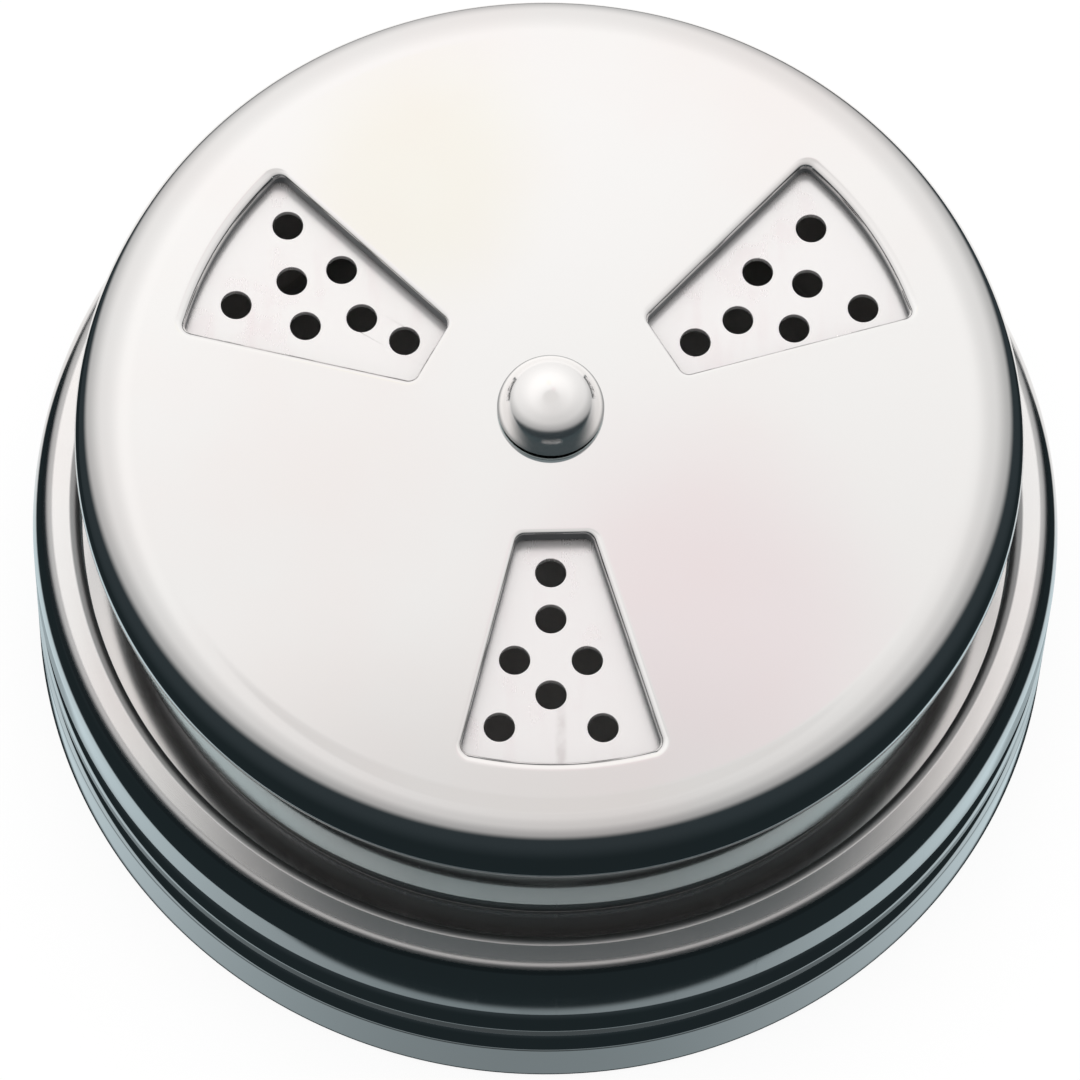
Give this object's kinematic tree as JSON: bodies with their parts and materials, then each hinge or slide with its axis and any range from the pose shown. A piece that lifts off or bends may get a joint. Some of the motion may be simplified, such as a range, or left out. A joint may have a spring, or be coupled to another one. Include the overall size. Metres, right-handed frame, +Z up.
{
  "type": "powdered sugar shaker",
  "caption": "Squat round polished steel shaker for powdered sugar: a turning cap with wedge windows over a drilled sieve, a screw lid and a stepped cup.",
  "frame": {"origin": "centre of the flat base on the table", "axes": "+Z up along the shaker's axis; -Y towards the front window of the cap"},
  "size_m": [0.076, 0.076, 0.0404],
  "materials": {
    "cup_steel": "mirror polished stainless sheet",
    "seal_silicone": "matte translucent silicone",
    "lid_steel": "mirror polished stainless sheet",
    "insert_plastic": "moulded black plastic",
    "sieve_steel": "bright rolled stainless sheet",
    "cap_steel": "mirror polished stainless sheet",
    "knob_steel": "mirror polished dome",
    "stud_steel": "turned steel",
    "glide_nylon": "natural nylon",
    "washer_steel": "stamped steel",
    "spring_steel": "spring steel",
    "nut_steel": "plated steel"
  },
  "bodies": {
    "cup": {"cup": "cup_steel"},
    "seal": {"seal_gasket": "seal_silicone"},
    "lid": {"lid_shell": "lid_steel", "thread_insert": "insert_plastic", "sieve_plate": "sieve_steel"},
    "cap": {"rotating_cap": "cap_steel", "knob": "knob_steel", "pivot_stud": "stud_steel", "glide_washer": "glide_nylon", "flat_washer": "washer_steel", "spring_washer": "spring_steel", "lock_nut": "nut_steel"}
  },
  "joints": [
    {"name": "lid_rise", "type": "slide", "parent": "cup", "child": "seal", "axis": [0, 0, 1], "range_m": [0, 0.005]},
    {"name": "lid_turn", "type": "hinge", "parent": "seal", "child": "lid", "pos_m": [0, 0, 0.0182], "axis": [0, 0, 1], "range_deg": [0, 450]},
    {"name": "cap_turn", "type": "hinge", "parent": "lid", "child": "cap", "pos_m": [0, 0, 0.0365], "axis": [0, 0, 1], "continuous": true}
  ],
  "couplings": [
    {"joint": "lid_rise", "follows": "lid_turn", "m_per_rad": 0.00063662}
  ]
}
